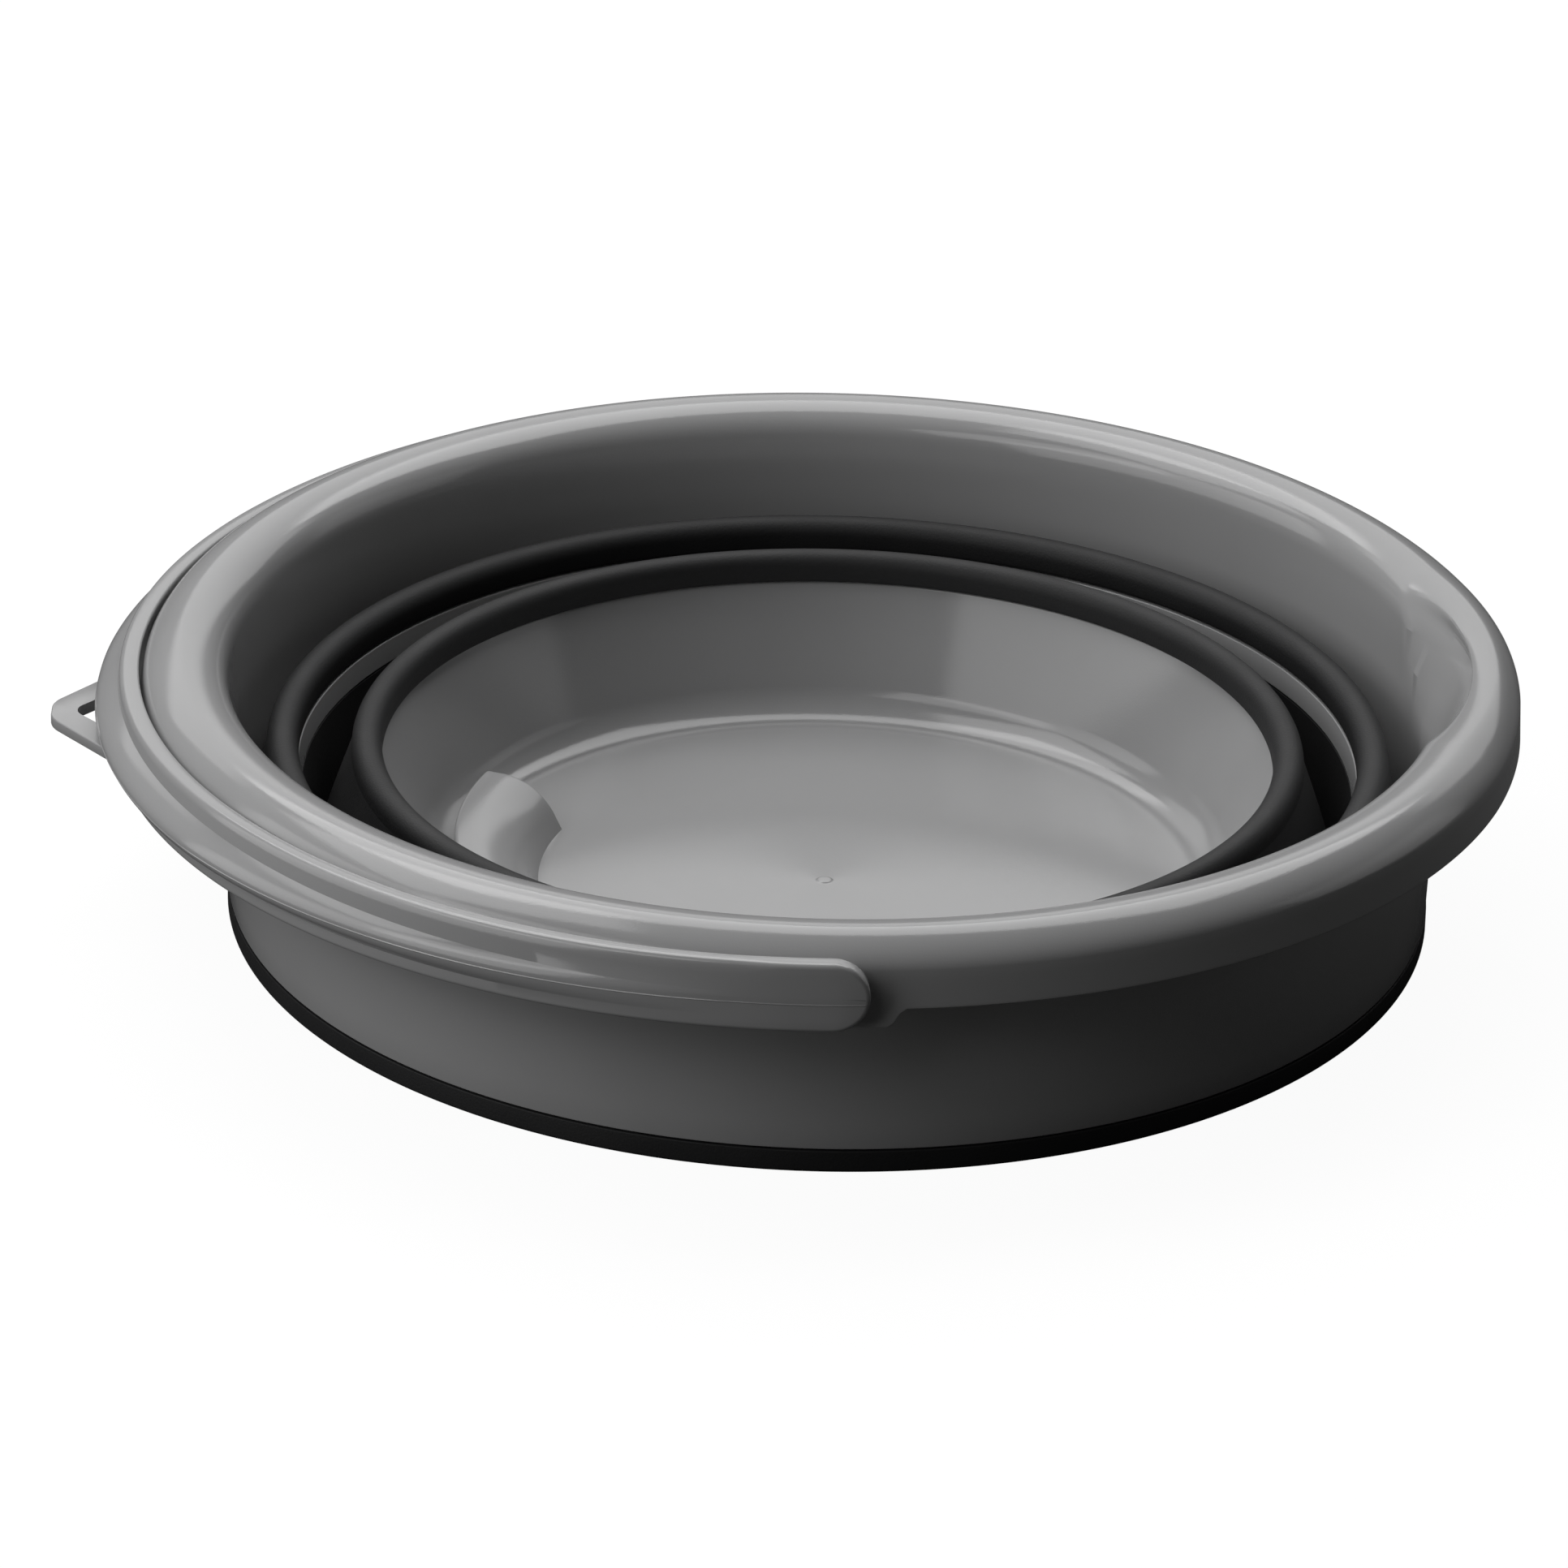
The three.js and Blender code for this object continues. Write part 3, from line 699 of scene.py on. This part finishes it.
for vert in bar.verts:
    along = vert.co.x / mm
    depth = vert.co.y / mm
    rise = vert.co.z / mm
    angle = along / handle_radius
    taper = min(max((1 - abs(angle) / rib_half_angle) / rib_fade, 0.0), 1.0)
    grip = smooth(taper)
    narrow = min(abs(angle) / rib_half_angle, 1.0) - smooth((abs(angle) - rib_half_angle) / rib_return)
    over = rib_over + (rib_over_end - rib_over) * narrow
    top = handle_half_height
    if rise > rib_middle + rib_over:
        rise = top - (top - rise) * (top - rib_middle - over) / (top - rib_middle - rib_over)
    elif rise > rib_middle:
        rise = rib_middle + (rise - rib_middle) * over / rib_over
    if depth > handle_wall - slack:
        beside = (rise - rib_middle) / (over if rise > rib_middle else rib_under)
        depth += rib_depth * taper * max(1 - beside * beside, 0.0)
        if abs(rise - parting_height) < parting_half_width / 2:
            depth += parting_proud
    depth -= handle_draft * abs(rise) / handle_half_height * depth / handle_wall
    lean = handle_lean if rise > 0 else handle_foot_lean
    depth -= grip * (handle_tuck + lean * rise / handle_half_height)
    azimuth = math.pi + angle
    radius = (handle_radius + depth) * mm
    out = radius * math.cos(azimuth)
    across = radius * math.sin(azimuth)
    sink = handle_drop * mm + across * math.tan(handle_tilt) - out * math.tan(handle_droop)
    vert.co = (out, across, (pivot_height + rise) * mm - sink)
bmesh.ops.recalc_face_normals(bar, faces=bar.faces[:])
handle = finished("bail_handle", bar, grey, crease=handle_crease)


def plate(outline, low, high):
    """A level plate between two heights, from (radius, across, rounding) corners on the handle's side."""
    shape = bmesh.new()
    points = [shape.verts.new((-radius * mm, across * mm, low * mm)) for radius, across, _ in outline]
    for first, second in zip(points, points[1:] + points[:1]):
        shape.edges.new((first, second))
    for point, (_, _, rounding) in zip(points, outline):
        if rounding:
            bmesh.ops.bevel(
                shape, geom=[point], offset=rounding * mm, offset_type="OFFSET", segments=tab_segments,
                profile=0.5, affect="VERTICES", material=-1,
            )
    bmesh.ops.contextual_create(shape, geom=shape.edges[:])
    thickened(shape, (0, 0, (high - low) * mm))
    return shape


tab = plate([
    (tab_root, -tab_root_width / 2, 0),
    (tab_root, tab_root_width / 2, 0),
    (tab_tip, tab_tip_width / 2, tab_tip_round),
    (tab_tip, -tab_tip_width / 2, tab_tip_round),
], tab_foot, tab_foot + tab_thickness)
tab_edges = [edge for edge in tab.edges if edge.calc_face_angle(0) > tab_edge_angle]
bmesh.ops.bevel(
    tab, geom=tab_edges, offset=tab_edge_round * mm, offset_type="OFFSET", segments=edge_segments,
    profile=0.5, affect="EDGES", material=-1,
)
tab_hole = plate([
    (tab_hole_root, -tab_hole_width / 2, tab_hole_round),
    (tab_hole_root, tab_hole_width / 2, tab_hole_round),
    (tab_hole_tip, 0, tab_hole_tip_round),
], tab_foot - tab_hole_past, tab_foot + tab_thickness + tab_hole_past)
hang_tab = finished("hang_tab", tab, grey, crease=handle_crease)
combined(hang_tab, finished("tab_hole", tab_hole, grey), "DIFFERENCE")

pegs = bmesh.new()
for side in (-1, 1):
    add_rod(pegs, peg_radius, side * peg_head_start, side * peg_root)
    add_rod(pegs, peg_head_radius, side * peg_head_start, side * peg_head_end)
snap_pegs = finished("snap_pegs", pegs, grey)
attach(handle, "handle")
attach(hang_tab, "handle")
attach(snap_pegs, "handle")
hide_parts("handle")

# Floor: a wide sheet under the bucket. It looks white to the camera, keeps a faint shadow and throws
# little light back up.
floor_half = 6.0
floor_shape = bmesh.new()
bmesh.ops.create_grid(floor_shape, x_segments=1, y_segments=1, size=floor_half)
floor_finish = Finish("white_floor")
seen = floor_finish.node("ShaderNodeLightPath", {}, {}, "Is Camera Ray")
floor_finish.set({
    "Base Color": (0.06, 0.06, 0.06, 1.0),
    "Roughness": 0.9,
    "Specular IOR Level": 0.0,
    "Emission Color": 0.95 * seen,
    "Emission Strength": 1.0,
})
floor_mesh = bpy.data.meshes.new("floor")
floor_shape.to_mesh(floor_mesh)
floor_shape.free()
floor_mesh.materials.append(floor_finish.material)
floor = bpy.data.objects.new("floor", floor_mesh)
bpy.context.scene.collection.objects.link(floor)

# Light: a large soft box high at the back with a second one lower behind it, one over the left side, two
# from the left and a weak one from the right. The room itself is dark. The boxes show as soft bands on
# the rim, the handle and the fillet of the bowl.
world = bpy.data.worlds.new("studio")
bpy.context.scene.world = world
world.use_nodes = True
world.node_tree.nodes["Background"].inputs["Strength"].default_value = 0.0


def soft_box(name, place, aim, width, height, power):
    """A rectangular lamp with its sizes in metres and its power in watts, turned to face a point."""
    lamp = bpy.data.lights.new(name, "AREA")
    lamp.shape = "RECTANGLE"
    lamp.size = width
    lamp.size_y = height
    lamp.energy = power
    lamp_object = bpy.data.objects.new(name, lamp)
    lamp_object.location = place
    lamp_object.rotation_euler = (Vector(aim) - Vector(place)).to_track_quat("-Z", "Y").to_euler()
    bpy.context.scene.collection.objects.link(lamp_object)


soft_box("back_box", (0, 0.82, 1.56), (0, 0, 0), 2.0, 1.2, 25.0)
soft_box("back_sweep", (0, 1.5, 1.0), (0, 0, 0.2), 3.0, 0.8, 9.0)
soft_box("over_left_box", (-0.8, 0.2, 1.4), (0, 0, 0), 1.0, 0.9, 6.5)
soft_box("front_left_box", (-0.847, -0.777, 0.964), (0, 0, 0), 1.2, 0.5, 3.4)
soft_box("low_left_box", (-1.438, -0.439, 0.547), (0, 0, 0), 2.2, 1.2, 13.0)
soft_box("right_box", (1.6, 0.2, 0.5), (0, 0, 0), 1.2, 0.8, 1.4)

# Camera: a long lens in front and above. It stands a little to the side and is rolled slightly about its
# own axis, as in the photograph.
camera_distance = 2.3294
camera_elevation = math.radians(25.389)
camera_turn = math.radians(-1.2)
camera_roll = math.radians(1.327)
camera_aim = Vector((-0.01015, 0, 0.02943))
camera_sensor = 36
camera_lens = 225.02
away = camera_distance * math.cos(camera_elevation)
place = Vector((0, -away, camera_distance * math.sin(camera_elevation)))
forward = (camera_aim - place).normalized()
level = forward.cross(Vector((0, 0, 1))).normalized()
upward = level.cross(forward)
right = level * math.cos(camera_roll) + upward * math.sin(camera_roll)
above = upward * math.cos(camera_roll) - level * math.sin(camera_roll)
stand = Matrix((right, above, -forward)).transposed().to_4x4()
stand.translation = place
camera = bpy.data.cameras.new("camera")
camera.sensor_width = camera_sensor
camera.lens = camera_lens
camera_object = bpy.data.objects.new("camera", camera)
camera_object.matrix_world = Matrix.Rotation(camera_turn, 4, "Z") @ stand
bpy.context.scene.collection.objects.link(camera_object)
bpy.context.scene.camera = camera_object
bpy.context.scene.view_settings.view_transform = "Standard"
